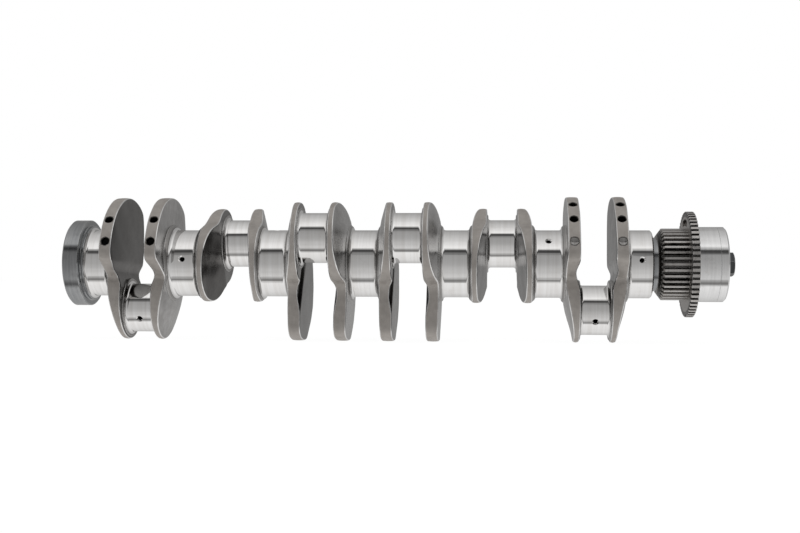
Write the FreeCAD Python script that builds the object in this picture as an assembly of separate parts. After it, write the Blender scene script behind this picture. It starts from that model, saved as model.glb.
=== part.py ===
"""Crankshaft of a heavy-duty inline six, with the gear, pulse wheel, hub and bolt on its nose.

Lengths are in millimetres. The crank axis is X: x = 0 is the outer face of the flywheel flange, and +X runs
to the nose. +Z is up. The forging is cut where its shapes meet, so each journal, crankpin and web is a
separate solid that touches its neighbours face to face.
"""

import FreeCAD, Part
import math
import os

from FreeCAD import Rotation, Vector

# Driving dimensions of the forging
CYLINDERS = 6
PITCH = 154.0  # crankpin to crankpin
THROW = 77.5  # crank axis to crankpin axis, half the stroke
MAIN_R = 57.0
PIN_R = 41.5
PIN_LENGTH = 48.0  # between the machined faces of its two webs
MAIN_LENGTH = 45.0  # likewise, for the five middle main journals
REAR_PIN_X = 125.0  # middle of crankpin 6, the one next to the flywheel
FLANGE_R = 74.0
FLANGE_LENGTH = 28.0
COLLAR_R = 64.0
COLLAR_LENGTH = 5.5
FRONT_JOURNAL_END = 989.0

# Throw directions, in degrees about the crank axis: 0 is -Y and 90 is +Z
THROW_ANGLES = {1: -87.0, 2: 153.0, 3: 33.0, 4: 33.0, 5: 153.0, 6: -87.0}

# Web section: distances along X from the middle of the web's crankpin
PIN_FACE = PIN_LENGTH / 2
MAIN_FACE = (PITCH - MAIN_LENGTH) / 2
PIN_BOSS_R = 50.5
MAIN_BOSS_R = 66.0
LOBE_NEAR = 25.5  # lobe's rim, on the crankpin's side
LOBE_FAR = 35.0  # lobe's rim, on the main journal's side, at the very end
LOBE_SHOULDER = 50.0  # where the bevel of the lobe starts
WEIGHT_NEAR = 28.3  # counterweight's face on the crankpin's side
WEIGHT_FAR = 48.3  # counterweight's face on the main journal's side
VALLEY = 33.0  # bottom of the hollow between the counterweight and the crankpin
NECK_NEAR = 31.0  # crankpin's side where the lobe ends
BARE_NEAR = 43.0  # crankpin's side at the round end of a web with no counterweight
LOBE_CENTRE = 65.0  # the lobe's arc, outwards along the throw
LOBE_R = 66.5
LOBE_START = 62.0  # half the width where the lobe's arc starts
NECK_HALF_WIDTH = 57.0
NECK_V = 26.0
NECK_FILLET = 14.0
BARE_SHOULDER = 20.0  # where the round end of a web with no counterweight stops

# Counterweights are turned to one side, to balance crankpins 2 and 5 too. Each is drawn as (across, outwards
# along the throw), and the side is the one its shoulder is on.
END_WEIGHT = {
    "side": 1,
    "reach": 112.5,
    "shoulder": [((111.0, -18.3), 0.0), ((111.0, -3.0), 8.0)],
    "rim_middle": (42.9, -104.0),
    "flank": [((-66.0, -91.1), 10.0), ((-73.0, -62.0), 40.0), ((-71.0, -5.0), 25.0), ((-57.0, 26.0), 14.0)],
    "hip": None,
}
MIDDLE_WEIGHT = {
    "side": -1,
    "reach": 132.0,
    "shoulder": [((-129.6, -24.5), 0.0), ((-127.0, -10.0), 8.0)],
    "rim_middle": (-118.0, -59.0),
    "flank": [
        ((-100.9, -83.4), 20.0), ((-54.0, -104.3), 30.0), ((-22.0, -107.4), 30.0), ((8.0, -95.0), 30.0),
        ((35.2, -72.6), 30.0), ((50.0, -43.0), 0.0),
    ],
    "hip": ((65.1, -11.0), (62.9, 20.0)),  # the flank ends on this arc, round the main journal
}
WEIGHTS = {1: END_WEIGHT, 2: None, 3: MIDDLE_WEIGHT, 4: MIDDLE_WEIGHT, 5: None, 6: END_WEIGHT}
BALANCE_R = 6.6
BALANCE_CHAMFER = 0.8
BALANCE_HOLES = {
    "rear": ((40.0, 30.0), (18.7, 9.0)),
    "front": ((60.4, 30.0), (40.5, 30.0), (19.2, 3.5)),
}

# Oil holes: angle about the crank axis of each main journal's hole
OIL_R = 3.6
OIL_CHAMFER = 2.2
OIL_DEPTH = 30.0
MAIN_OIL = {1: 7.0, 2: 42.0, 3: 200.0, 4: 110.0, 5: 84.0, 6: 7.0, 7: 250.0}
PIN_OIL_FROM_THROW = 61.0

FILLET = 4.5  # rolled fillet at each end of a journal or crankpin
END_CHAMFER = 2.5  # on the nose end of main journal 1, which has no fillet

# Nose: x of each face
NOSE_R = 40.0
NOSE_END = 1104.0
GEAR_START = 997.0
WHEEL_START = 1045.3
HUB_START = 1058.0
HUB_END = 1109.0
GEAR_TEETH = 38
GEAR_MODULE = 3.0
GEAR_CHAMFER = 9.0  # along X
GEAR_CHAMFER_DROP = 12.0  # and in radius
WHEEL_R = 88.3
WHEEL_TEETH = 60
WHEEL_TEETH_MISSING = 2
WHEEL_TOOTH_DEPTH = 4.0
WHEEL_GAP_ANGLE = 250.0
WHEEL_SLOTS = 3
WHEEL_SLOT_R = 70.0
WHEEL_SLOT_HALF_WIDTH = 5.2
WHEEL_SLOT_HALF_ANGLE = 15.0
HUB_R = 62.6
HUB_GROOVE_X = 1095.2
KEY_START = 1000.0
KEY_END = 1095.0
KEY_WIDTH = 12.0
KEY_HEIGHT = 8.0
BOLT_R = 12.0
BOLT_LENGTH = 70.0
BOLT_ACROSS_FLATS = 36.0
BOLT_FLANGE_R = 22.5
BOLT_FLANGE_HEIGHT = 4.5
BOLT_HEAD_HEIGHT = 16.0

# Flywheel flange
FLYWHEEL_BOLTS = 10
FLYWHEEL_PCD = 118.0
FLYWHEEL_HOLE_R = 7.0
FLYWHEEL_HOLE_DEPTH = 24.0
PILOT_R = 27.5
PILOT_DEPTH = 22.0
DOWEL_HOLE_R = 6.0
DOWEL_HOLE_DEPTH = 14.0

AXIS = Vector(1, 0, 0)
CLEARANCE = 5.0  # how far a cutting tool starts outside the metal
DRILL_POINT = 0.55  # depth of a drill's point over its radius


def direction(angle):
    """Unit vector square to the crank axis: 0 degrees is -Y and 90 is +Z."""
    turn = math.radians(angle)
    return Vector(0, -math.cos(turn), math.sin(turn))


def pin_x(number):
    """Middle of a crankpin. Crankpin 1 is next to the nose."""
    return REAR_PIN_X + PITCH * (CYLINDERS - number)


def save(name, shape):
    shape.exportStep(f"parts/{name}.step")


def turned(profile, centre=Vector(0, 0, 0)):
    """Solid of revolution about a line along X through centre. profile is a list of (x, radius)."""
    points = [Vector(x, 0, radius) for x, radius in profile]
    face = Part.Face(Part.makePolygon(points + [points[0]]))
    solid = face.revolve(Vector(0, 0, 0), AXIS, 360)
    solid.translate(centre)
    return solid


def radial_hole(x, angle, radius, mouth, depth, chamfer, centre=Vector(0, 0, 0)):
    """Tool for a chamfered hole bored towards the line through centre from mouth out, with a drill point."""
    inward = direction(angle) * -1
    start = centre + Vector(x, 0, 0) - inward * (mouth + CLEARANCE)
    drill = Part.makeCylinder(radius, depth + CLEARANCE, start, inward)
    point = Part.makeCone(radius, 0.0, radius * DRILL_POINT, start + inward * (depth + CLEARANCE), inward)
    flare = chamfer + CLEARANCE
    countersink = Part.makeCone(radius + flare, radius, flare, start, inward)
    return drill.fuse(point).fuse(countersink).removeSplitter()


def fillet_arc(face_x, inwards, radius):
    """Ends and middle of the fillet between a journal and the web face at face_x."""
    drop = FILLET * (1 - math.sqrt(0.5))
    on_face = Vector(face_x, 0, radius + FILLET)
    middle = Vector(face_x + inwards * drop, 0, radius + drop)
    on_journal = Vector(face_x + inwards * FILLET, 0, radius)
    return on_face, middle, on_journal


def filleted_journal(start, end, radius, end_flare=True, centre=Vector(0, 0, 0)):
    """Ground cylinder that flares into the webs through rolled fillets. Its far end may have a chamfer."""
    low = Vector(start, 0, 0)
    high = Vector(end, 0, 0)
    on_face, middle, first = fillet_arc(start, 1, radius)
    edges = [Part.LineSegment(low, on_face).toShape(), Part.Arc(on_face, middle, first).toShape()]
    if end_flare:
        on_face, middle, last = fillet_arc(end, -1, radius)
        edges.append(Part.LineSegment(first, last).toShape())
        edges.append(Part.Arc(last, middle, on_face).toShape())
    else:
        last = Vector(end - END_CHAMFER, 0, radius)
        on_face = Vector(end, 0, radius - END_CHAMFER)
        edges.append(Part.LineSegment(first, last).toShape())
        edges.append(Part.LineSegment(last, on_face).toShape())
    edges.append(Part.LineSegment(on_face, high).toShape())
    edges.append(Part.LineSegment(high, low).toShape())
    solid = Part.Face(Part.Wire(edges)).revolve(Vector(0, 0, 0), AXIS, 360)
    solid.translate(centre)
    return solid


def main_journals():
    """Seven main journals. Number 1 is at the nose and number 7 at the flywheel."""
    for number in range(1, CYLINDERS + 2):
        if number == CYLINDERS + 1:
            start = FLANGE_LENGTH + COLLAR_LENGTH
        else:
            start = pin_x(number) + MAIN_FACE
        end = pin_x(number - 1) - MAIN_FACE if number > 1 else FRONT_JOURNAL_END
        journal = filleted_journal(start, end, MAIN_R, end_flare=number > 1)
        middle = (start + end) / 2
        hole = radial_hole(middle, MAIN_OIL[number], OIL_R, MAIN_R, OIL_DEPTH, OIL_CHAMFER)
        save(f"main_journal_{number}", journal.cut(hole))


def crankpins():
    """Six crankpins, each with one oil hole in the middle of its length."""
    for number, angle in THROW_ANGLES.items():
        centre = direction(angle) * THROW
        middle = pin_x(number)
        pin = filleted_journal(middle - PIN_FACE, middle + PIN_FACE, PIN_R, centre=centre)
        oil_angle = angle + PIN_OIL_FROM_THROW
        hole = radial_hole(middle, oil_angle, OIL_R, PIN_R, OIL_DEPTH, OIL_CHAMFER, centre)
        save(f"crankpin_{number}", pin.cut(hole))


def arc(start, middle, end):
    return Part.Arc(Vector(0, *start), Vector(0, *middle), Vector(0, *end)).toShape()


def line(start, end):
    return Part.LineSegment(Vector(0, *start), Vector(0, *end)).toShape()


def lobe_corner(across):
    """Point on the lobe's arc, below its middle, at this distance across."""
    return (across, LOBE_CENTRE - math.sqrt(LOBE_R**2 - across**2))


def web_outline(weight):
    """Closed outline square to the axis, as (across, outwards along the throw)."""
    lobe_end = (0.0, LOBE_CENTRE + LOBE_R)
    left, right = lobe_corner(-LOBE_START), lobe_corner(LOBE_START)
    edges = [arc(left, lobe_end, right)]
    if not weight:
        reach = math.sqrt(MAIN_BOSS_R**2 - BARE_SHOULDER**2)
        edges.append(arc((-reach, BARE_SHOULDER), (0.0, -MAIN_BOSS_R), (reach, BARE_SHOULDER)))
        edges.append(line((-reach, BARE_SHOULDER), left))
        edges.append(line((reach, BARE_SHOULDER), right))
    else:
        near, far = (right, left) if weight["side"] > 0 else (left, right)
        rim_end, shoulder = [corner for corner, _ in weight["shoulder"]]
        neck = (weight["side"] * NECK_HALF_WIDTH, NECK_V)
        flank = [corner for corner, _ in weight["flank"]]
        edges.append(arc(flank[0], weight["rim_middle"], rim_end))
        edges += [line(rim_end, shoulder), line(shoulder, neck), line(neck, near)]
        edges += [line(start, end) for start, end in zip(flank, flank[1:])]
        last = flank[-1]
        if weight["hip"]:
            middle, last = weight["hip"]
            edges.append(arc(flank[-1], middle, last))
        edges.append(line(last, far))
    return Part.Face(Part.Wire(Part.sortEdges(edges)[0]))


def edge_along_x(solid, corner):
    """The edge that runs along X through this corner of the outline."""
    for edge in solid.Edges:
        middle = edge.valueAt((edge.FirstParameter + edge.LastParameter) / 2)
        at_corner = abs(middle.y - corner[0]) < 0.5 and abs(middle.z - corner[1]) < 0.5
        if at_corner and edge.BoundBox.XLength > 0.9 * edge.Length:
            return edge
    raise ValueError(f"no edge at {corner}")


def rounded_prism(weight, length):
    """The outline drawn out along X, with the corners of the counterweight rounded."""
    prism = web_outline(weight).extrude(Vector(length, 0, 0))
    if weight:
        neck = ((weight["side"] * NECK_HALF_WIDTH, NECK_V), NECK_FILLET)
        for corner, radius in [neck] + weight["shoulder"] + weight["flank"]:
            if radius:
                prism = prism.makeFillet(radius, [edge_along_x(prism, corner)])
    return prism


def web_section(weight):
    """Side view of a web, as (x from the crankpin's middle, height along the throw)."""
    top = LOBE_CENTRE + LOBE_R + 10.0
    bottom = -(weight["reach"] if weight else MAIN_BOSS_R) - 10.0
    if weight:
        pin_side = [(WEIGHT_NEAR, bottom), (WEIGHT_NEAR, 2.0), (VALLEY, 16.0), (NECK_NEAR, 41.0),
                    (LOBE_NEAR, 62.0)]
        main_side = [(LOBE_SHOULDER, 62.0), (LOBE_SHOULDER, 10.0), (WEIGHT_FAR, -15.0), (WEIGHT_FAR, bottom)]
    else:
        pin_side = [(BARE_NEAR, bottom), (LOBE_NEAR, 30.0)]
        main_side = [(LOBE_SHOULDER, 62.0), (LOBE_SHOULDER, bottom)]
    points = pin_side + [(LOBE_NEAR, top), (LOBE_FAR - 2.0, top)] + main_side
    corners = [Vector(x, 0, z) for x, z in points]
    return Part.Face(Part.makePolygon(corners + [corners[0]]))


def web_blank(weight):
    """One web in its own frame: crank axis along X, throw along +Z, crankpin's middle at x = 0."""
    half_width = 200.0
    section = web_section(weight)
    section.translate(Vector(0, -half_width, 0))
    slab = section.extrude(Vector(0, 2 * half_width, 0))
    prism = rounded_prism(weight, MAIN_FACE + 20.0)
    blank = slab.common(prism)
    main_boss = turned([(VALLEY + 4, 0), (VALLEY + 4, MAIN_BOSS_R - 8), (LOBE_SHOULDER - 4, MAIN_BOSS_R),
                        (MAIN_FACE - 1, MAIN_BOSS_R - 1), (MAIN_FACE, MAIN_BOSS_R - 2.5), (MAIN_FACE, 0)])
    pin_boss = turned([(PIN_FACE, 0), (PIN_FACE, PIN_BOSS_R - 2), (PIN_FACE + 1, PIN_BOSS_R),
                       (LOBE_NEAR + 5, PIN_BOSS_R), (LOBE_NEAR + 5, 0)], Vector(0, 0, THROW))
    solid = blank.fuse(main_boss.common(prism)).fuse(pin_boss)
    return solid.removeSplitter().Solids[0]


def webs():
    """Twelve webs, two to a crankpin. Web 1 is at the flywheel and web 12 at the nose."""
    mirror_plane = (Vector(0, 0, 0), AXIS)
    for number, angle in THROW_ANGLES.items():
        blank = web_blank(WEIGHTS[number])
        rear = blank.mirror(*mirror_plane)
        first = 2 * (CYLINDERS - number) + 1
        for index, shape in ((first, rear), (first + 1, blank)):
            placed = shape.copy()
            placed.rotate(Vector(0, 0, 0), AXIS, 90.0 - angle)
            placed.translate(Vector(pin_x(number), 0, 0))
            side = -1 if index == first else 1
            for tool in balance_tools(number, side):
                placed = placed.cut(tool)
            save(f"web_{index}", placed)


def balance_tools(number, side):
    """Holes drilled into the rims of the counterweights of the first and last cylinders."""
    end = {1: "front", 6: "rear"}.get(number)
    if end is None:
        return []
    x = pin_x(number) + side * (WEIGHT_NEAR + WEIGHT_FAR) / 2
    mouth = WEIGHTS[number]["reach"]
    return [
        radial_hole(x, angle, BALANCE_R, mouth, depth, BALANCE_CHAMFER)
        for angle, depth in BALANCE_HOLES[end]
    ]


def flywheel_flange():
    """Flange with tapped holes on a circle, a pilot bore and a dowel hole, and the collar behind it."""
    end = FLANGE_LENGTH + COLLAR_LENGTH
    body = turned([(0, 0), (0, FLANGE_R - 2.5), (2.5, FLANGE_R), (FLANGE_LENGTH - 1.5, FLANGE_R),
                   (FLANGE_LENGTH, FLANGE_R - 1.5), (FLANGE_LENGTH, COLLAR_R + 1.5),
                   (FLANGE_LENGTH + 1.5, COLLAR_R), (end - 1, COLLAR_R), (end, COLLAR_R - 1), (end, 0)])
    body = body.cut(Part.makeCylinder(PILOT_R, PILOT_DEPTH, Vector(0, 0, 0), AXIS))
    for index in range(FLYWHEEL_BOLTS):
        place = direction(360.0 * index / FLYWHEEL_BOLTS) * (FLYWHEEL_PCD / 2)
        body = body.cut(Part.makeCylinder(FLYWHEEL_HOLE_R, FLYWHEEL_HOLE_DEPTH, place, AXIS))
    dowel = direction(180.0 / FLYWHEEL_BOLTS) * (FLYWHEEL_PCD / 2)
    body = body.cut(Part.makeCylinder(DOWEL_HOLE_R, DOWEL_HOLE_DEPTH, dowel, AXIS))
    save("flywheel_flange", body.removeSplitter())


def key_shape():
    """The key on top of the nose, from the gear to the hub, which is also the tool for its slots."""
    corner = Vector(KEY_START, -KEY_WIDTH / 2, NOSE_R - KEY_HEIGHT / 2)
    return Part.makeBox(KEY_END - KEY_START, KEY_WIDTH, KEY_HEIGHT, corner)


def nose_shaft():
    """Stepped nose that carries the gear, pulse wheel and hub, with a tapped hole in its end."""
    body = turned([(FRONT_JOURNAL_END, 0), (FRONT_JOURNAL_END, 45.0), (GEAR_START, 45.0),
                   (GEAR_START, NOSE_R), (NOSE_END - 1.5, NOSE_R), (NOSE_END, NOSE_R - 1.5), (NOSE_END, 0)])
    hole = Part.makeCylinder(BOLT_R, BOLT_LENGTH, Vector(NOSE_END - BOLT_LENGTH, 0, 0), AXIS)
    save("nose_shaft", body.cut(hole).cut(key_shape()))
    save("nose_key", key_shape())


def crankshaft_gear():
    """Spur gear that drives the timing train, with tapered-in ends on its teeth."""
    tip = GEAR_MODULE * (GEAR_TEETH + 2) / 2
    root = GEAR_MODULE * (GEAR_TEETH - 2.5) / 2
    pitch_angle = 360.0 / GEAR_TEETH
    blank = turned([(GEAR_START, NOSE_R), (GEAR_START, tip - GEAR_CHAMFER_DROP),
                    (GEAR_START + GEAR_CHAMFER, tip), (WHEEL_START, tip), (WHEEL_START, NOSE_R)])
    gap_tip = math.pi * GEAR_MODULE * 0.36
    gap_root = math.pi * GEAR_MODULE * 0.15
    shape = [Vector(GEAR_START - 1, -gap_root, root), Vector(GEAR_START - 1, -gap_tip, tip + 0.6),
             Vector(GEAR_START - 1, gap_tip, tip + 0.6), Vector(GEAR_START - 1, gap_root, root)]
    gap = Part.Face(Part.makePolygon(shape + [shape[0]])).extrude(Vector(WHEEL_START - GEAR_START + 2, 0, 0))
    tools = []
    for index in range(GEAR_TEETH):
        tool = gap.copy()
        tool.rotate(Vector(0, 0, 0), AXIS, index * pitch_angle)
        tools.append(tool)
    save("crankshaft_gear", blank.cut(Part.makeCompound(tools)).cut(key_shape()))


def pulse_wheel():
    """Speed-sensor wheel: sixty square teeth, two of them left out, and three curved slots in the disc."""
    disc = turned([(WHEEL_START, NOSE_R), (WHEEL_START, WHEEL_R - 1), (WHEEL_START + 1, WHEEL_R),
                   (HUB_START - 1, WHEEL_R), (HUB_START, WHEEL_R - 1), (HUB_START, NOSE_R)])
    step = 360.0 / WHEEL_TEETH
    width = math.radians(step) * WHEEL_R * 0.5
    root = WHEEL_R - WHEEL_TOOTH_DEPTH
    length = HUB_START - WHEEL_START
    tools = []
    for index in range(WHEEL_TEETH):
        corner = Vector(WHEEL_START - 1, -width / 2, root)
        tool = Part.makeBox(length + 2, width, WHEEL_TOOTH_DEPTH + 3, corner)
        tool.rotate(Vector(0, 0, 0), AXIS, index * step + step / 2)
        tools.append(tool)
    for index in range(WHEEL_TEETH_MISSING):
        corner = Vector(WHEEL_START - 1, -width * 0.6, root)
        gap = Part.makeBox(length + 2, width * 1.2, WHEEL_TOOTH_DEPTH + 3, corner)
        gap.rotate(Vector(0, 0, 0), AXIS, WHEEL_GAP_ANGLE + index * step)
        tools.append(gap)
    for index in range(WHEEL_SLOTS):
        middle = 90.0 + 360.0 * index / WHEEL_SLOTS
        tools.append(curved_slot(WHEEL_SLOT_R, WHEEL_SLOT_HALF_WIDTH, WHEEL_SLOT_HALF_ANGLE, middle))
    save("pulse_wheel", disc.cut(Part.makeCompound(tools)).cut(key_shape()))


def curved_slot(radius, half_width, half_angle, middle):
    """Tool for a slot along a circle about the axis, with round ends."""
    start = WHEEL_START - 1
    length = HUB_START - WHEEL_START + 2
    ring = Part.makeCylinder(radius + half_width, length, Vector(start, 0, 0), AXIS)
    ring = ring.cut(Part.makeCylinder(radius - half_width, length, Vector(start, 0, 0), AXIS))
    far = radius * 2
    low = direction(middle - half_angle) * far
    high = direction(middle + half_angle) * far
    corners = [Vector(start, 0, 0), low + Vector(start, 0, 0), high + Vector(start, 0, 0)]
    wedge = Part.Face(Part.makePolygon(corners + [corners[0]])).extrude(Vector(length, 0, 0))
    tool = ring.common(wedge)
    for angle in (middle - half_angle, middle + half_angle):
        end = direction(angle) * radius + Vector(start, 0, 0)
        tool = tool.fuse(Part.makeCylinder(half_width, length, end, AXIS))
    return tool.removeSplitter()


def front_hub():
    """Hub that the vibration damper bolts to, ground for the front oil seal, with a turned groove."""
    body = turned([(HUB_START, NOSE_R), (HUB_START, HUB_R - 0.8), (HUB_START + 0.8, HUB_R),
                   (HUB_GROOVE_X - 0.6, HUB_R), (HUB_GROOVE_X, HUB_R - 1.2), (HUB_GROOVE_X + 0.6, HUB_R),
                   (HUB_END - 2.5, HUB_R), (HUB_END, HUB_R - 2.5), (HUB_END, BOLT_R + 1),
                   (NOSE_END, BOLT_R + 1), (NOSE_END, NOSE_R)])
    save("front_hub", body.cut(key_shape()))


def nose_bolt():
    """Flanged hexagon bolt that clamps the stack on the nose."""
    seat = HUB_END
    tip = NOSE_END - BOLT_LENGTH
    shank = Part.makeCylinder(BOLT_R, seat - tip, Vector(tip, 0, 0), AXIS)
    flange = turned([(seat, 0), (seat, BOLT_FLANGE_R - 0.5), (seat + 0.5, BOLT_FLANGE_R),
                     (seat + 2.0, BOLT_FLANGE_R), (seat + BOLT_FLANGE_HEIGHT, BOLT_FLANGE_R - 3),
                     (seat + BOLT_FLANGE_HEIGHT, 0)])
    corner = BOLT_ACROSS_FLATS / 2 / math.cos(math.pi / 6)
    points = [direction(60 * index + 15) * corner + Vector(seat, 0, 0) for index in range(6)]
    hexagon = Part.Face(Part.makePolygon(points + [points[0]])).extrude(Vector(BOLT_HEAD_HEIGHT, 0, 0))
    crown = turned([(seat, 0), (seat, corner + 1), (seat + BOLT_HEAD_HEIGHT - 2, corner + 1),
                    (seat + BOLT_HEAD_HEIGHT, BOLT_ACROSS_FLATS / 2), (seat + BOLT_HEAD_HEIGHT, 0)])
    save("nose_bolt", shank.fuse(flange).fuse(hexagon.common(crown)).removeSplitter())


def build():
    os.makedirs("parts", exist_ok=True)
    flywheel_flange()
    main_journals()
    crankpins()
    webs()
    nose_shaft()
    crankshaft_gear()
    pulse_wheel()
    front_hub()
    nose_bolt()


build()
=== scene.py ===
"""Looks of the crankshaft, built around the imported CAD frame.

Lengths are in metres, in the frame's own axes: X runs along the crank axis from the flywheel flange to the
nose, and Z is up. The journals, crankpins, flange and everything on the nose are the CAD parts with
procedural materials. The twelve webs are rebuilt here as smooth forgings with rounded, worn edges.
"""

import math

import bmesh
import bpy
import numpy as np
from mathutils import Matrix, Vector


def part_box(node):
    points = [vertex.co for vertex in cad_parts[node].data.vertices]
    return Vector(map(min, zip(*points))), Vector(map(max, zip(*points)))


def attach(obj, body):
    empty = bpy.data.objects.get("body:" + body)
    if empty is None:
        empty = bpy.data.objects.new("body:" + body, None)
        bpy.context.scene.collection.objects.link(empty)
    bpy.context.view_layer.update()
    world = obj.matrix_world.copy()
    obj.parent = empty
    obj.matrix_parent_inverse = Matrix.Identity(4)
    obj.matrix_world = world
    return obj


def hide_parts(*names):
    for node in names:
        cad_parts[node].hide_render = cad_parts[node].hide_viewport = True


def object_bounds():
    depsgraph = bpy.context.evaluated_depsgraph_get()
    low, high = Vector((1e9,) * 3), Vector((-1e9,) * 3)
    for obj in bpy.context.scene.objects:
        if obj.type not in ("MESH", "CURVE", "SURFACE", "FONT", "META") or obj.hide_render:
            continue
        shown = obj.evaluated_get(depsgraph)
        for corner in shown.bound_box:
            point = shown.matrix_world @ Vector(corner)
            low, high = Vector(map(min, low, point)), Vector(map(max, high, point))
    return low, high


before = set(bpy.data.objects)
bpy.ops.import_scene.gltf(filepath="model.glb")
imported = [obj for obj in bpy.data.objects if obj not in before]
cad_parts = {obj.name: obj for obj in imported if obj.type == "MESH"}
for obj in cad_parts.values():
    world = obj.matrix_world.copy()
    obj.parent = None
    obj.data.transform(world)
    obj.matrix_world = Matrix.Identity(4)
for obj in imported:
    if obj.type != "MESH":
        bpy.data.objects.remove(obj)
cad_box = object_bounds()

MM = 0.001

# The crank's layout, in millimetres and degrees, as in the CAD source
PITCH = 154.0
REAR_PIN_X = 125.0
THROW = 77.5
THROW_ANGLES = {1: -87.0, 2: 153.0, 3: 33.0, 4: 33.0, 5: 153.0, 6: -87.0}
MAIN_R = 57.0
PIN_R = 41.5
PIN_FACE = 24.0
MAIN_FACE = 54.5
MAIN_BOSS_R = 66.0
PIN_BOSS_R = 50.5

# A web's outline, in its own plane: u across, v outwards along the throw. It runs from the left end of the
# lobe's arc round to its right end.
LOBE_CENTRE = 65.0
LOBE_R = 66.5
LOBE_START = 62.0  # u of the two ends of its arc
NECK = (57.0, 26.0)
BARE_SHOULDER = 20.0  # v where the round end of a web with no counterweight starts
END_REACH = 112.5
END_FLANK = [(-57.0, 26.0), (-71.0, -5.0), (-73.0, -62.0)]
END_RIM = (234.1, 350.6)  # degrees
END_SHOULDER = [(111.0, -3.0), NECK]
MIDDLE_REACH = 132.0
MIDDLE_SHOULDER = [(-61.0, 36.0), (-61.5, 29.0), (-66.5, 22.0), (-77.0, 15.5), (-127.0, -10.0)]
MIDDLE_RIM = (190.7, 219.6)  # degrees
MIDDLE_FLANK = [(-54.0, -104.3), (-22.0, -107.4), (8.0, -95.0), (35.2, -72.6)]
MIDDLE_HIP = (-40.7, 17.7)  # degrees
WEIGHTS = {1: "end", 2: None, 3: "middle", 4: "middle", 5: None, 6: "end"}

# Balance holes in the outer counterweights: angle about the crank axis, and depth
BALANCE_R = 6.6
BALANCE_PLACE = 38.3  # along X from the middle of the crankpin
BALANCE_SHALLOW = 5.0  # a hole no deeper than this keeps the look of bare steel
COUNTERSINK = 0.9
CUTTER_CLEARANCE = 6.0
CUTTER_SEGMENTS = 48
BALANCE_HOLES = {
    6: ((40.0, 30.0), (18.7, 9.0)),
    1: ((60.4, 30.0), (40.5, 30.0), (19.2, 3.5)),
}

# Oil holes: angle about the crank axis, and about the crankpin's own axis from its throw
OIL_R = 3.6
OIL_LIP = 2.3  # depth of the bright lip
OIL_DEPTH = 40.0
MAIN_OIL = {1: 7.0, 2: 42.0, 3: 200.0, 4: 110.0, 5: 84.0, 6: 7.0, 7: 250.0}
PIN_OIL_FROM_THROW = 61.0

# Tapped holes in the flange
FLANGE_HOLES = 10
FLANGE_HOLE_R = 7.0
FLANGE_PITCH_R = 59.0
FLANGE_HOLE_LIP = 1.5
FLANGE_HOLE_DEPTH = 25.0


def direction(angle):
    """Unit vector square to the crank axis: 0 degrees is -Y and 90 is +Z."""
    turn = math.radians(angle)
    return np.array([0.0, -math.cos(turn), math.sin(turn)])


def pin_x(number):
    return REAR_PIN_X + PITCH * (6 - number)


# ---------------------------------------------------------------- materials

WORN_EDGE = 0.0007


class Nodes:
    """Short way to add shader nodes and link them."""

    def __init__(self, tree):
        self.tree = tree
        tree.nodes.clear()

    def add(self, kind, inputs=None, **settings):
        node = self.tree.nodes.new(kind)
        for name, value in settings.items():
            setattr(node, name, value)
        for name, value in (inputs or {}).items():
            self.put(node, name, value)
        return node

    def put(self, node, name, value):
        """value is a plain value, a node (its first output) or a socket."""
        if isinstance(value, bpy.types.Node):
            value = value.outputs[0]
        if isinstance(value, bpy.types.NodeSocket):
            self.tree.links.new(value, node.inputs[name])
        else:
            node.inputs[name].default_value = value

    def math(self, operation, first, second=0.0):
        return self.add("ShaderNodeMath", {0: first, 1: second}, operation=operation)

    def span(self, value, low, high, out_low=0.0, out_high=1.0):
        """Maps low..high to out_low..out_high, with soft ends."""
        inputs = {"Value": value, 1: low, 2: high, 3: out_low, 4: out_high}
        return self.add("ShaderNodeMapRange", inputs, interpolation_type="SMOOTHSTEP")

    def mix(self, factor, first, second):
        node = self.add("ShaderNodeMix", data_type="RGBA")
        self.put(node, 0, factor)
        self.put(node, 6, first)
        self.put(node, 7, second)
        return node.outputs[2]

    def noise(self, vector, scale, detail=2.0, rough=0.5):
        inputs = {"Vector": vector, "Scale": scale, "Detail": detail, "Roughness": rough}
        return self.add("ShaderNodeTexNoise", inputs).outputs["Fac"]

    def stretched(self, vector, sizes):
        return self.add("ShaderNodeMapping", {"Vector": vector, "Scale": sizes})

    def radius(self, vector):
        """Distance from the crank axis, in metres."""
        parts = self.add("ShaderNodeSeparateXYZ", {0: vector})
        y, z = parts.outputs[1], parts.outputs[2]
        total = self.math("ADD", self.math("MULTIPLY", y, y), self.math("MULTIPLY", z, z))
        return self.math("SQRT", total)

    def finish(self, shader, tone, rough, bump):
        self.put(shader, "Base Color", tone)
        self.put(shader, "Roughness", rough)
        self.put(shader, "Normal", bump)


def grey(value, warm=0.0):
    """Near-grey colour. warm above 0 is towards brown, below 0 towards blue."""
    return (value * (1 + warm), value, value * (1 - warm), 1.0)


def new_material(name):
    material = bpy.data.materials.new(name)
    material.use_nodes = True
    nodes = Nodes(material.node_tree)
    place = nodes.add("ShaderNodeTexCoord").outputs["Object"]
    shader = nodes.add("ShaderNodeBsdfPrincipled", {"Metallic": 1.0})
    nodes.add("ShaderNodeOutputMaterial", {"Surface": shader})
    return material, nodes, place, shader


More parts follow.
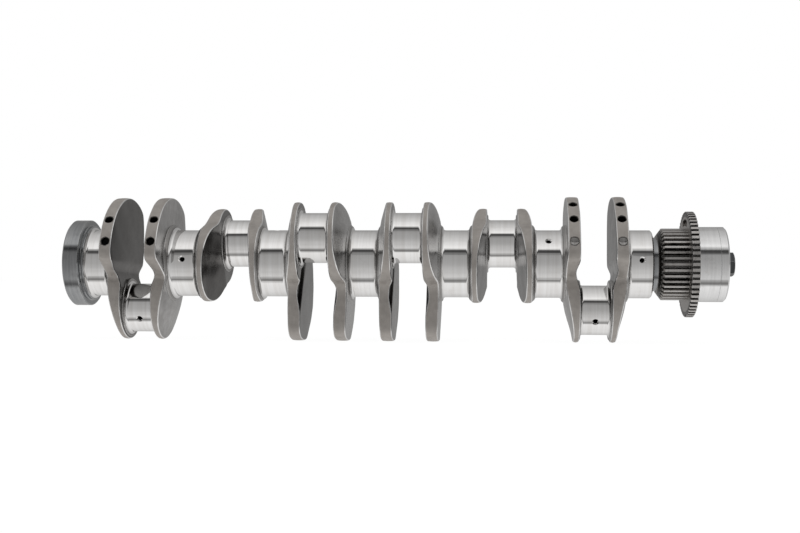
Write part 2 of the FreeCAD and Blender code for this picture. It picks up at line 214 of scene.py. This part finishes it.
def ground_steel():
    """Mirror-ground journals: grinding lines round the journal, faint stains and finger marks."""
    material, nodes, place, shader = new_material("ground_steel")
    lines = nodes.noise(nodes.stretched(place, (2600.0, 22.0, 22.0)), 1.0, 4.0, 0.65)
    bands = nodes.noise(nodes.stretched(place, (170.0, 6.0, 6.0)), 1.0, 3.0)
    stains = nodes.noise(place, 34.0, 4.0, 0.6)
    tone = nodes.mix(nodes.span(bands, 0.3, 0.7), grey(0.80, 0.012), grey(0.90))
    tone = nodes.mix(nodes.span(stains, 0.55, 0.75, 0.0, 0.22), tone, grey(0.60, 0.06))
    stained = nodes.span(stains, 0.5, 0.8, 0.0, 0.05)
    shine = nodes.math("ADD", nodes.span(lines, 0.3, 0.75, 0.02, 0.05), stained)
    bump = nodes.add("ShaderNodeBump", {"Strength": 0.06, "Distance": 0.00003, "Height": lines})
    nodes.finish(shader, tone, shine, bump)
    return material


def forged_steel():
    """Forging: painted shade darkens the side by the crankpin and painted light brightens the side by the
    main journal, with dull rims and bright edges.
    """
    material, nodes, place, shader = new_material("forged_steel")
    grain = nodes.noise(place, 900.0, 3.0, 0.6)
    mottle = nodes.noise(place, 70.0, 5.0, 0.65)
    clouds = nodes.noise(place, 13.0, 3.0, 0.5)
    polish = nodes.add("ShaderNodeAttribute", attribute_name="polish").outputs["Fac"]
    rim = nodes.add("ShaderNodeAttribute", attribute_name="rim").outputs["Fac"]
    worn = nodes.math("MULTIPLY", nodes.span(polish, 0.35, 0.95), nodes.span(mottle, 0.25, 0.55, 0.6, 1.0))
    # Painted shade and light: the crankpin's side of each web is coloured near black as shade, and the main
    # journal's side a lighter grey as if lit.
    painted_light_side = nodes.add("ShaderNodeAttribute", attribute_name="painted_light_side").outputs["Fac"]
    inside = nodes.mix(nodes.span(mottle, 0.3, 0.7), grey(0.09, 0.05), grey(0.14, 0.04))
    outside = nodes.mix(nodes.span(mottle, 0.3, 0.7), grey(0.42, 0.02), grey(0.56, 0.01))
    face = nodes.mix(painted_light_side, inside, outside)
    darker = nodes.mix(0.5, face, grey(0.06, 0.03))
    face = nodes.mix(nodes.span(clouds, 0.35, 0.7, 0.0, 0.5), face, darker)
    dull = nodes.mix(nodes.span(mottle, 0.3, 0.7), grey(0.44, 0.06), grey(0.55, 0.05))
    dull = nodes.mix(nodes.span(grain, 0.60, 0.75, 0.0, 0.3), dull, grey(0.58, 0.04))
    tone = nodes.mix(rim, face, dull)
    tone = nodes.mix(worn, tone, grey(0.86))
    grained = nodes.span(grain, 0.3, 0.7, -0.02, 0.03)
    shine = nodes.math("ADD", nodes.span(mottle, 0.3, 0.7, 0.17, 0.24), grained)
    matte = nodes.span(mottle, 0.3, 0.7, 0.60, 0.70)
    rough = nodes.add("ShaderNodeMix", {0: rim, 2: shine, 3: matte})
    rough = nodes.math("MULTIPLY", rough, nodes.span(worn, 0.0, 1.0, 1.0, 0.45))
    height = nodes.math("ADD", nodes.math("MULTIPLY", grain, 0.35), mottle)
    depth = nodes.span(worn, 0.0, 1.0, 0.26, 0.06)
    bump = nodes.add("ShaderNodeBump", {"Strength": depth, "Distance": 0.00025, "Height": height})
    nodes.finish(shader, tone, rough, bump)
    return material


def turned(name, tone, warm, rough, line_scale, depth=0.2):
    """Turned face: cutting lines in rings about the crank axis, on both the barrel and the end faces."""
    material, nodes, place, shader = new_material(name)
    parts = nodes.add("ShaderNodeSeparateXYZ", {0: place})
    rings = nodes.add("ShaderNodeCombineXYZ", {0: parts.outputs[0], 1: nodes.radius(place)})
    lines = nodes.noise(nodes.stretched(rings, (line_scale, line_scale, 1.0)), 1.0, 4.0, 0.7)
    streaks = nodes.noise(nodes.stretched(place, (260.0, 14.0, 14.0)), 1.0, 4.0, 0.6)
    stains = nodes.noise(place, 45.0, 5.0, 0.62)
    colour = nodes.mix(nodes.span(streaks, 0.3, 0.7), grey(tone[0], warm), grey(tone[1], warm * 0.6))
    stain = grey(tone[0] * 0.7, warm + 0.03)
    colour = nodes.mix(nodes.span(stains, 0.52, 0.75, 0.0, 0.4), colour, stain)
    colour = nodes.mix(nodes.math("MULTIPLY", edge_mask(nodes), 0.8), colour, grey(0.86))
    stained = nodes.span(stains, 0.5, 0.8, 0.0, 0.08)
    shine = nodes.math("ADD", nodes.span(lines, 0.3, 0.7, *rough), stained)
    bump = nodes.add("ShaderNodeBump", {"Strength": depth, "Distance": 0.00006, "Height": lines})
    nodes.finish(shader, colour, shine, bump)
    return material


def edge_mask(nodes):
    """Near 1 along convex and concave edges, where handling has worn the steel bright."""
    rounded = nodes.add("ShaderNodeBevel", {"Radius": WORN_EDGE}, samples=6)
    flat = nodes.add("ShaderNodeNewGeometry").outputs["Normal"]
    dot = nodes.add("ShaderNodeVectorMath", {0: rounded, 1: flat}, operation="DOT_PRODUCT")
    return nodes.span(dot.outputs["Value"], 0.995, 0.90)


def toothed(name, tip, root, warm):
    """Hardened teeth: roots painted dark as the shade in the gaps between teeth, dull olive flanks and tips
    rubbed bright.
    """
    material, nodes, place, shader = new_material(name)
    radius = nodes.radius(place)
    mottle = nodes.noise(place, 160.0, 4.0, 0.6)
    grain = nodes.noise(place, 1400.0, 2.0, 0.5)
    # Painted shade: near black at the tooth roots and on the side faces just below them, lightening outwards
    # along the flanks.
    up = nodes.math("ADD", nodes.span(radius, root, tip), nodes.span(mottle, 0.3, 0.7, -0.12, 0.12))
    tone = nodes.mix(nodes.span(up, 0.05, 0.7), grey(0.06, 0.05), grey(0.40, warm))
    tone = nodes.mix(nodes.span(up, 0.86, 1.0), tone, grey(0.50, warm * 0.6))
    tone = nodes.mix(nodes.math("MULTIPLY", edge_mask(nodes), 0.75), tone, grey(0.85))
    inner = nodes.span(radius, root - 0.004, root - 0.0055)
    plate = nodes.mix(nodes.span(mottle, 0.3, 0.7), grey(0.30, warm), grey(0.42, warm))
    tone = nodes.mix(inner, tone, plate)
    rough = nodes.span(mottle, 0.3, 0.7, 0.26, 0.42)
    bump = nodes.add("ShaderNodeBump", {"Strength": 0.2, "Distance": 0.0001, "Height": grain})
    nodes.finish(shader, tone, rough, bump)
    return material


def bore_shadow():
    """Unpolished wall of a drilled hole, painted near black as the shade deep inside it."""
    material, nodes, place, shader = new_material("bore_shadow")
    drill = nodes.noise(place, 1500.0, 3.0)
    nodes.put(shader, "Base Color", nodes.mix(drill, grey(0.006), grey(0.03, 0.05)))
    nodes.put(shader, "Roughness", nodes.span(drill, 0.3, 0.7, 0.5, 0.8))
    return material


MATERIALS = {
    "ground_steel": ground_steel(),
    "forged_steel": forged_steel(),
    "machined_flange": turned("machined_flange", (0.28, 0.36), -0.03, (0.10, 0.17), 900.0, 0.06),
    "turned_steel": turned("turned_steel", (0.78, 0.86), -0.005, (0.04, 0.08), 1100.0, 0.06),
    "dark_bolt": turned("dark_bolt", (0.05, 0.11), -0.06, (0.25, 0.40), 500.0),
    "boss": turned("boss", (0.26, 0.38), 0.03, (0.18, 0.30), 1200.0),
    "gear_steel": toothed("gear_steel", tip=0.060, root=0.0535, warm=0.045),
    "wheel_steel": toothed("wheel_steel", tip=0.0883, root=0.0843, warm=0.05),
    "bore_shadow": bore_shadow(),
}


# ---------------------------------------------------------------- CAD parts


def polygon_centres(mesh):
    centres = np.zeros(len(mesh.polygons) * 3, np.float32)
    mesh.polygons.foreach_get("center", centres)
    return centres.reshape(-1, 3)


def shade_hole(mesh, slot, mouth, inward, radius, skip, depth_limit):
    """Gives the faces inside a round hole the material in slot, from skip to depth_limit below its mouth."""
    offset = polygon_centres(mesh) - mouth
    depth = offset @ inward
    across = np.linalg.norm(offset - depth[:, None] * inward, axis=1)
    inside = (across < radius * 1.03) & (depth > skip) & (depth < depth_limit)
    indices = np.zeros(len(mesh.polygons), np.int32)
    mesh.polygons.foreach_get("material_index", indices)
    indices[inside] = slot
    mesh.polygons.foreach_set("material_index", indices)


def paint(node, material):
    """Gives a CAD node its material, with the shadowed bore as its second slot."""
    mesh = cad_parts[node].data
    mesh.materials.clear()
    mesh.materials.append(MATERIALS[material])
    mesh.materials.append(MATERIALS["bore_shadow"])
    return mesh


def paint_journals():
    for number in range(1, 8):
        node = f"main_journal_{number}"
        mesh = paint(node, "ground_steel")
        low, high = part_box(node)
        outward = direction(MAIN_OIL[number])
        mouth = outward * MAIN_R * MM + np.array([(low.x + high.x) / 2, 0.0, 0.0])
        shade_hole(mesh, 1, mouth, -outward, OIL_R * MM, OIL_LIP * MM, OIL_DEPTH * MM)
    for number, angle in THROW_ANGLES.items():
        mesh = paint(f"crankpin_{number}", "ground_steel")
        outward = direction(angle + PIN_OIL_FROM_THROW)
        mouth = direction(angle) * THROW * MM + outward * PIN_R * MM
        mouth = mouth + np.array([pin_x(number) * MM, 0.0, 0.0])
        shade_hole(mesh, 1, mouth, -outward, OIL_R * MM, OIL_LIP * MM, OIL_DEPTH * MM)


def paint_ends():
    flange = paint("flywheel_flange", "machined_flange")
    inward = np.array([1.0, 0.0, 0.0])
    lip, depth = FLANGE_HOLE_LIP * MM, FLANGE_HOLE_DEPTH * MM
    for index in range(FLANGE_HOLES):
        mouth = direction(360.0 / FLANGE_HOLES * index) * FLANGE_PITCH_R * MM
        shade_hole(flange, 1, mouth, inward, FLANGE_HOLE_R * MM, lip, depth)
    paint("nose_shaft", "machined_flange")
    paint("nose_key", "machined_flange")
    paint("crankshaft_gear", "gear_steel")
    paint("pulse_wheel", "wheel_steel")
    paint("front_hub", "turned_steel")
    paint("nose_bolt", "dark_bolt")


# ---------------------------------------------------------------- webs

# Lengths in millimetres, as above
OUTLINE_POINTS = 360
SOFTENING = 20
EDGE_R = 2.2
EDGE_STEPS = 5
EDGE_INSETS = (7.0, 5.2, EDGE_R + 0.4)  # rings just inside the rounded edge
RIM_ROWS = 4
RIM_CROWN = 0.5
RIM_RIPPLE = 0.6
RIM_POLISH = 0.1
INSET = 9.0
INNER_RINGS = 24
BORE_SLOT = 2  # material slots of a web
BOSS_SLOT = 1
SMOOTH_ANGLE = 33  # degrees

# The crankpin's side of a web, as (v, distance along X from the middle of the crankpin)
WEIGHT_PIN_SIDE = ((-1.0, 28.0), (17.0, 32.8), (46.0, 26.0), (70.0, 25.8))
BARE_PIN_SIDE = ((-66, 41.0), (-50, 39.0), (22, 27.2), (30, 26.0), (140, 25.8))

# The main journal's side: the bevelled lobe, by distance from the crank axis, and the counterweight, by v
LOBE_BEVEL = (
    (0, 50.6), (64, 50.6), (72, 49.8), (84, 47.4), (96, 44.0), (108, 40.2), (120, 36.8), (128, 35.4),
    (140, 35.0),
)
WEIGHT_MAIN_SIDE = ((-18.0, 48.3), (12.0, 50.0))
LOBE_BLEND = (18.0, 46.0)  # v over which the lobe takes over from the counterweight

# Section of each boss ring: distance along X, then the ring's radius, or None and the step in from its wall
BOSS_SEGMENTS = 144
PIN_BOSS_BORE = 40.0
PIN_BOSS_MARGIN = 2.6
PIN_BOSS_SECTION = (
    (PIN_FACE, PIN_BOSS_BORE, 0), (PIN_FACE, None, 1.0), (PIN_FACE + 0.8, None, 0.2),
    (PIN_FACE + 5, None, -0.6), (PIN_FACE + 5, PIN_BOSS_BORE, 0),
)
MAIN_BOSS_BORE = 54.0
MAIN_BOSS_MARGIN = 1.4
MAIN_BOSS_SECTION = (
    (MAIN_FACE, MAIN_BOSS_BORE, 0), (MAIN_FACE, None, 4.2), (MAIN_FACE - 1.0, None, 2.6),
    (MAIN_FACE - 3.6, None, 0.4), (44.0, None, -1.0), (44.0, MAIN_BOSS_BORE, 0),
)
HEART = np.array([0.0, 15.0])  # the outline is seen whole from here


def arc_points(centre, radius, start, end, count):
    turn = np.radians(np.linspace(start, end, count))
    return np.stack([centre[0] + radius * np.cos(turn), centre[1] + radius * np.sin(turn)], 1)


def outline_corners(weight):
    """A web's outline before its corners are rounded, anticlockwise from the right end of the lobe's arc."""
    lobe_angle = math.degrees(math.acos(LOBE_START / LOBE_R))
    lobe = arc_points((0.0, LOBE_CENTRE), LOBE_R, -lobe_angle, 180.0 + lobe_angle, 160)
    if weight == "end":
        rim = arc_points((0.0, 0.0), END_REACH, *END_RIM, 120)
        return np.concatenate([lobe, END_FLANK, rim, END_SHOULDER])
    if weight == "middle":
        rim = arc_points((0.0, 0.0), MIDDLE_REACH, *MIDDLE_RIM, 60)
        hip = arc_points((0.0, 0.0), MAIN_BOSS_R, *MIDDLE_HIP, 40)
        return np.concatenate([lobe, MIDDLE_SHOULDER, rim, MIDDLE_FLANK, hip])
    turn = math.degrees(math.asin(BARE_SHOULDER / MAIN_BOSS_R))
    round_end = arc_points((0.0, 0.0), MAIN_BOSS_R, 180.0 - turn, 360.0 + turn, 140)
    return np.concatenate([lobe, round_end])


def resample(points, count):
    """Evenly spaced points along a closed line."""
    closed = np.concatenate([points, points[:1]])
    along = np.concatenate([[0.0], np.cumsum(np.linalg.norm(np.diff(closed, axis=0), axis=1))])
    places = np.linspace(0.0, along[-1], count, endpoint=False)
    return np.stack([np.interp(places, along, closed[:, axis]) for axis in (0, 1)], 1)


def softened(points, passes):
    """Rounds the corners of a closed line."""
    for _ in range(passes):
        points = 0.5 * points + 0.25 * (np.roll(points, 1, 0) + np.roll(points, -1, 0))
    return points


def web_line(weight):
    """The whole outline and its outward normals."""
    points = softened(resample(outline_corners(weight), OUTLINE_POINTS), SOFTENING)
    points = resample(points, OUTLINE_POINTS)
    ahead = np.roll(points, -1, 0) - np.roll(points, 1, 0)
    normals = np.stack([ahead[:, 1], -ahead[:, 0]], 1)
    normals /= np.linalg.norm(normals, axis=1)[:, None]
    return points, normals


def smooth_step(low, high, value):
    share = np.clip((value - low) / (high - low), 0.0, 1.0)
    return share * share * (3 - 2 * share)


def curve(knots, value):
    """Smooth curve through (place, height) knots."""
    places, heights = np.array(knots).T
    result = np.full_like(value, heights[0])
    for index in range(1, len(knots)):
        rise = heights[index] - heights[index - 1]
        result += rise * smooth_step(places[index - 1], places[index], value)
    return result


def waves(u, v, seed):
    """Slow unevenness of a forged face, a fraction of a millimetre."""
    turn = 2.39996 * seed
    first = np.sin(u / 19.0 + turn) * np.sin(v / 23.0 + 2 * turn)
    second = np.sin((u + v) / 11.0 + 3 * turn) * 0.4
    return 0.22 * (first + second)


def pin_side(points, weight):
    """Where the crankpin's side of the web is, along the axis from the middle of the crankpin."""
    v = points[:, 1]
    if weight:
        return curve(WEIGHT_PIN_SIDE, v)
    return np.interp(v, *zip(*BARE_PIN_SIDE))


def main_side(points, weight):
    """Where the main journal's side of the web is: the lobe is bevelled off outside the raised boss."""
    bevel = np.interp(np.linalg.norm(points, axis=1), *zip(*LOBE_BEVEL))
    if not weight:
        return bevel
    low = curve(WEIGHT_MAIN_SIDE, points[:, 1])
    share = smooth_step(*LOBE_BLEND, points[:, 1])
    return low + (bevel - low) * share


def face_rings(line, side, sign, weight, seed):
    """Rings of points with their polish over one face, from its middle out and round its edge."""
    outline, normals = line
    made = []
    inner = outline - normals * INSET
    for step in range(1, INNER_RINGS + 1):
        made.append((HEART + (inner - HEART) * (step / INNER_RINGS), 0.0, 0.0))
    for inset in EDGE_INSETS:
        made.append((outline - normals * inset, 0.0, 0.0))
    for step in range(EDGE_STEPS + 1):
        turn = math.pi / 2 * step / EDGE_STEPS
        polish = math.sin(2 * turn) if step < EDGE_STEPS else RIM_POLISH
        flat = outline - normals * EDGE_R * (1 - math.sin(turn))
        made.append((flat, EDGE_R * (1 - math.cos(turn)), polish))
    rings = []
    for flat, drop, polish in made:
        height = side(flat, weight) + sign * drop + waves(flat[:, 0], flat[:, 1], seed + sign)
        rings.append((np.column_stack([height, flat]), polish))
    return rings


def rim_rings(line, low, high, seed):
    """Rings between the edges of the two faces, slightly crowned and uneven."""
    outline, normals = line
    ripple = waves(low[:, 2] * 1.7, low[:, 1] * 1.3, seed + 7)[:, None]
    rings = []
    for row in range(1, RIM_ROWS):
        share = row / RIM_ROWS
        crown = RIM_CROWN * 4 * share * (1 - share)
        flat = outline + normals * crown
        between = low[:, :1] * (1 - share) + high[:, :1] * share
        rings.append((np.column_stack([between, flat + normals * ripple * RIM_RIPPLE]), 0.0))
    return rings


def stitched(start, other, count):
    """Faces between two rings of count points, which begin at start and at other."""
    faces = []
    for index in range(count):
        following = (index + 1) % count
        faces.append((start + index, start + following, other + following, other + index))
    return faces


def web_body(weight, seed):
    """Vertices (s, u, v), their polish and rim values and which side is painted light rather than shade,
    faces and outline, without the bosses.
    """
    line = web_line(weight)
    count = len(line[0])
    near = face_rings(line, pin_side, 1, weight, seed)
    far = face_rings(line, main_side, -1, weight, seed)
    rings = near + rim_rings(line, near[-1][0], far[-1][0], seed) + far[::-1]
    order = np.arange(len(rings))
    on_rim = (order >= len(near) - 2) & (order <= len(rings) - len(far) + 1)
    # The main journal's side, from the middle of the rim on, is painted light; the crankpin's side is painted
    # shade.
    painted_light_side = order >= len(near) + RIM_ROWS // 2
    by_ring = {"polish": [polish for _, polish in rings], "rim": on_rim, "painted_light_side": painted_light_side}
    at_centres = {"polish": [0.0, 0.0], "rim": [0.0, 0.0], "painted_light_side": [0.0, 1.0]}
    values = {}
    for name, levels in by_ring.items():
        values[name] = np.concatenate([np.repeat(np.array(levels, float), count), at_centres[name]])
    centres = [(side[0][0][:, 0].mean(), *HEART) for side in (near, far)]
    points = np.concatenate([ring for ring, _ in rings] + [centres])
    faces = []
    for ring in range(len(rings) - 1):
        faces += stitched(ring * count, (ring + 1) * count, count)
    first_centre = len(rings) * count
    last = first_centre - count
    for index in range(count):
        following = (index + 1) % count
        faces.append((first_centre, following, index))
        faces.append((first_centre + 1, last + index, last + following))
    return points, values, faces, line[0]


def boss_ring(centre_v, radius, outline, margin, section):
    """Closed ring about a line along the axis, kept margin inside the web's outline."""
    offset = outline - np.array([0.0, centre_v])
    angles = np.arctan2(offset[:, 1], offset[:, 0])
    order = np.argsort(angles)
    reach = np.linalg.norm(offset, axis=1)
    turn = np.linspace(-math.pi, math.pi, BOSS_SEGMENTS, endpoint=False)
    room = np.interp(turn, angles[order], reach[order], period=2 * math.pi) - margin
    outer = np.minimum(radius, room)
    points = []
    faces = []
    for row, (s, fixed, step_in) in enumerate(section):
        ring_radius = np.full(BOSS_SEGMENTS, fixed) if fixed is not None else outer - step_in
        u = ring_radius * np.cos(turn)
        v = ring_radius * np.sin(turn) + centre_v
        points.append(np.column_stack([np.full(BOSS_SEGMENTS, s), u, v]))
        following = (row + 1) % len(section)
        faces += stitched(row * BOSS_SEGMENTS, following * BOSS_SEGMENTS, BOSS_SEGMENTS)
    return np.concatenate(points), faces


def placed(points, number, side):
    """(s, u, v) in a web's own frame to the row frame, in metres. side is -1 for a crankpin's rear web."""
    angle = THROW_ANGLES[number]
    outwards = direction(angle)
    turn = math.radians(angle)
    across = np.array([0.0, math.sin(turn), math.cos(turn)])
    axial = np.array([side, 0.0, 0.0])
    world = points[:, :1] * axial + points[:, 1:2] * across + points[:, 2:3] * outwards
    return (world + np.array([pin_x(number), 0.0, 0.0])) * MM


def balance_cutter(x, angle, depth):
    """Closed drill shape with a countersink and a pointed end."""
    outward = direction(angle)
    first = np.array([1.0, 0.0, 0.0])
    second = np.cross(outward, first)
    section = (
        (CUTTER_CLEARANCE, BALANCE_R + CUTTER_CLEARANCE + COUNTERSINK), (-COUNTERSINK, BALANCE_R),
        (-depth, BALANCE_R), (-depth - 3.0, 0.4),
    )
    points = []
    for height, radius in section:
        for index in range(CUTTER_SEGMENTS):
            turn = 2 * math.pi * index / CUTTER_SEGMENTS
            ring = first * math.cos(turn) * radius + second * math.sin(turn) * radius
            points.append((ring + outward * (END_REACH + height) + np.array([x, 0.0, 0.0])) * MM)
    top = tuple(range(CUTTER_SEGMENTS))
    tip = tuple(index + (len(section) - 1) * CUTTER_SEGMENTS for index in reversed(top))
    faces = [top, tip]
    for row in range(len(section) - 1):
        sides = stitched(row * CUTTER_SEGMENTS, (row + 1) * CUTTER_SEGMENTS, CUTTER_SEGMENTS)
        faces += [face[::-1] for face in sides]
    mesh = bpy.data.meshes.new("balance_cutter")
    mesh.from_pydata([tuple(point) for point in points], [], faces)
    cutter = bpy.data.objects.new("balance_cutter", mesh)
    bpy.context.scene.collection.objects.link(cutter)
    recalculate_normals(mesh)
    return cutter


def recalculate_normals(mesh):
    edit = bmesh.new()
    edit.from_mesh(mesh)
    bmesh.ops.recalc_face_normals(edit, faces=edit.faces)
    edit.to_mesh(mesh)
    edit.free()


def subtract(piece, cutter):
    """Cuts one object out of another, and deletes the cutter."""
    modifier = piece.modifiers.new("hole", "BOOLEAN")
    modifier.operation = "DIFFERENCE"
    modifier.solver = "EXACT"
    modifier.object = cutter
    evaluated = piece.evaluated_get(bpy.context.evaluated_depsgraph_get())
    cut = bpy.data.meshes.new_from_object(evaluated)
    piece.modifiers.clear()
    piece.data = cut
    bpy.data.objects.remove(cutter)


def drill(piece, number, side):
    """Cuts the balance holes into a finished web, then shades their walls."""
    x = pin_x(number) + side * BALANCE_PLACE
    for angle, depth in BALANCE_HOLES[number]:
        subtract(piece, balance_cutter(x, angle, depth))
    for angle, depth in BALANCE_HOLES[number]:
        outward = direction(angle)
        mouth = (outward * END_REACH + np.array([x, 0.0, 0.0])) * MM
        slot, lip, limit = (BORE_SLOT, 1.4, 36.0) if depth > BALANCE_SHALLOW else (BOSS_SLOT, 0.4, 8.0)
        shade_hole(piece.data, slot, mouth, -outward, BALANCE_R * MM, lip * MM, limit * MM)


def web_mesh(index, number, side):
    """One web with its two bosses, as a mesh with its materials and surface values."""
    body, values, faces, outline = web_body(WEIGHTS[number], index)
    pin_boss, pin_faces = boss_ring(THROW, PIN_BOSS_R, outline, PIN_BOSS_MARGIN, PIN_BOSS_SECTION)
    main_boss, main_faces = boss_ring(0.0, MAIN_BOSS_R, outline, MAIN_BOSS_MARGIN, MAIN_BOSS_SECTION)
    points = np.concatenate([body, pin_boss, main_boss])
    shift_pin = len(body)
    shift_main = shift_pin + len(pin_boss)
    all_faces = list(faces)
    all_faces += [tuple(corner + shift_pin for corner in face) for face in pin_faces]
    all_faces += [tuple(corner + shift_main for corner in face) for face in main_faces]
    mesh = bpy.data.meshes.new(f"forged_web_{index}")
    mesh.from_pydata([tuple(point) for point in placed(points, number, side)], [], all_faces)
    mesh.validate()
    recalculate_normals(mesh)
    bosses = np.zeros(len(pin_boss) + len(main_boss))
    for name, on_body in values.items():
        levels = np.concatenate([on_body, bosses]).astype(np.float32)
        mesh.attributes.new(name, "FLOAT", "POINT").data.foreach_set("value", levels)
    for name in ("forged_steel", "boss", "bore_shadow"):
        mesh.materials.append(MATERIALS[name])
    slots = np.zeros(len(mesh.polygons), np.int32)
    slots[len(faces):] = BOSS_SLOT
    mesh.polygons.foreach_set("material_index", slots)
    return mesh


def build_web(index, number, side):
    piece = bpy.data.objects.new(f"forged_web_{index}", web_mesh(index, number, side))
    bpy.context.scene.collection.objects.link(piece)
    if number in BALANCE_HOLES:
        drill(piece, number, side)
    piece.data.polygons.foreach_set("use_smooth", np.ones(len(piece.data.polygons), bool))
    piece.data.set_sharp_from_angle(angle=math.radians(SMOOTH_ANGLE))
    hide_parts(f"web_{index}")
    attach(piece, "root")


def build_webs():
    for number in THROW_ANGLES:
        first = 2 * (6 - number) + 1
        build_web(first, number, -1)
        build_web(first + 1, number, 1)


# ---------------------------------------------------------------- studio


# Places and lengths in metres
FLOOR_MIDDLE = 0.5
FLOOR_HALF = 6.0
FLOOR_GAP = 0.0003
LAMP_SIZE = (2.4, 1.2)
LAMP_POWER = 18.0
LAMP_PLACE = (0.45, -0.6, 1.9)
LAMP_TILT = -17  # degrees
CAMERA_PLACE = (0.7435, -1.9833, 0.0)
CAMERA_YAW = 5.07  # degrees, as are the next two
CAMERA_PITCH = -0.14
CAMERA_ROLL = -0.16
LENS = 52.44

# The studio's soft panels and the gaps between them, round the crank axis: degrees up from the camera's side,
# a grey level and a warmth
STUDIO_GAIN = 1.25
STUDIO_PANELS = (
    (-180, 0.60, 0.01), (-120, 0.80, 0.01), (-70, 0.85, 0.01), (-60, 0.40, 0.02), (-48, 0.75, 0.01),
    (0, 0.60, 0.01), (30, 0.55, 0.01), (38, 0.25, 0.01), (44, 0.25, 0.01), (54, 0.88, 0.01),
    (90, 0.75, 0.01), (150, 0.55, 0.01),
)


def studio_floor():
    z = cad_box[0].z - FLOOR_GAP
    left, right = FLOOR_MIDDLE - FLOOR_HALF, FLOOR_MIDDLE + FLOOR_HALF
    corners = [(left, -FLOOR_HALF, z), (right, -FLOOR_HALF, z), (right, FLOOR_HALF, z), (left, FLOOR_HALF, z)]
    mesh = bpy.data.meshes.new("floor")
    mesh.from_pydata(corners, [], [(0, 1, 2, 3)])
    floor = bpy.data.objects.new("floor", mesh)
    bpy.context.scene.collection.objects.link(floor)
    material = bpy.data.materials.new("pale_floor")
    material.use_nodes = True
    nodes = Nodes(material.node_tree)
    paper = nodes.add("ShaderNodeBsdfDiffuse", {"Color": grey(0.9)})
    glow = nodes.add("ShaderNodeEmission", {"Color": grey(1.0), "Strength": 1.04})
    both = nodes.add("ShaderNodeMixShader", {0: 0.94, 1: paper, 2: glow})
    nodes.add("ShaderNodeOutputMaterial", {"Surface": both})
    mesh.materials.append(material)
    floor.visible_glossy = False


def panel_ramp(nodes, turn):
    ramp = nodes.add("ShaderNodeValToRGB", {0: turn})
    stops = ramp.color_ramp.elements
    for index, (angle, level, warm) in enumerate(STUDIO_PANELS):
        place = angle / 360.0 + 0.5
        stop = stops[index] if index < 2 else stops.new(place)
        stop.position = place
        stop.color = grey(STUDIO_GAIN * level**2.2, warm)
    return ramp.outputs[0]


def studio_world():
    """White to the eye. Its reflections are long soft panels along the crank axis."""
    world = bpy.data.worlds.new("studio")
    bpy.context.scene.world = world
    world.use_nodes = True
    nodes = Nodes(world.node_tree)
    way = nodes.add("ShaderNodeTexCoord").outputs["Generated"]
    parts = nodes.add("ShaderNodeSeparateXYZ", {0: way})
    towards = nodes.math("MULTIPLY", parts.outputs[1], -1.0)
    angle = nodes.math("ARCTAN2", parts.outputs[2], towards)
    share = nodes.add("ShaderNodeMath", {0: angle, 1: 0.5 / math.pi, 2: 0.5}, operation="MULTIPLY_ADD")
    ripple = nodes.span(nodes.noise(way, 3.5, 2.0), 0.25, 0.75, -0.012, 0.012)
    light = panel_ramp(nodes, nodes.math("ADD", share, ripple))
    eye = nodes.add("ShaderNodeLightPath").outputs["Is Camera Ray"]
    colour = nodes.mix(eye, light, grey(1.0))
    background = nodes.add("ShaderNodeBackground", {"Color": colour, "Strength": 1.0})
    nodes.add("ShaderNodeOutputWorld", {"Surface": background})


def studio_light():
    light = bpy.data.lights.new("overhead", "AREA")
    light.shape = "RECTANGLE"
    light.size, light.size_y = LAMP_SIZE
    light.energy = LAMP_POWER
    lamp = bpy.data.objects.new("overhead", light)
    lamp.location = LAMP_PLACE
    lamp.rotation_euler = (math.radians(LAMP_TILT), 0.0, 0.0)
    lamp.visible_glossy = False
    bpy.context.scene.collection.objects.link(lamp)


def camera():
    """At the height of the crank axis, a little towards the nose of the middle, and looking slightly back."""
    yaw, pitch, roll = (math.radians(angle) for angle in (CAMERA_YAW, CAMERA_PITCH, CAMERA_ROLL))
    forward = Vector((-math.sin(yaw) * math.cos(pitch), math.cos(yaw) * math.cos(pitch), math.sin(pitch)))
    right = Vector((math.cos(yaw), math.sin(yaw), 0.0))
    down = forward.cross(right)
    rolled_right = math.cos(roll) * right + math.sin(roll) * down
    rolled_down = -math.sin(roll) * right + math.cos(roll) * down
    turn = Matrix((rolled_right, -rolled_down, -forward)).transposed()
    data = bpy.data.cameras.new("camera")
    data.sensor_width = 36.0
    data.lens = LENS
    eye = bpy.data.objects.new("camera", data)
    eye.matrix_world = Matrix.Translation(CAMERA_PLACE) @ turn.to_4x4()
    bpy.context.scene.collection.objects.link(eye)
    bpy.context.scene.camera = eye


paint_journals()
paint_ends()
build_webs()
studio_floor()
studio_world()
studio_light()
camera()
bpy.context.scene.view_settings.view_transform = "Standard"
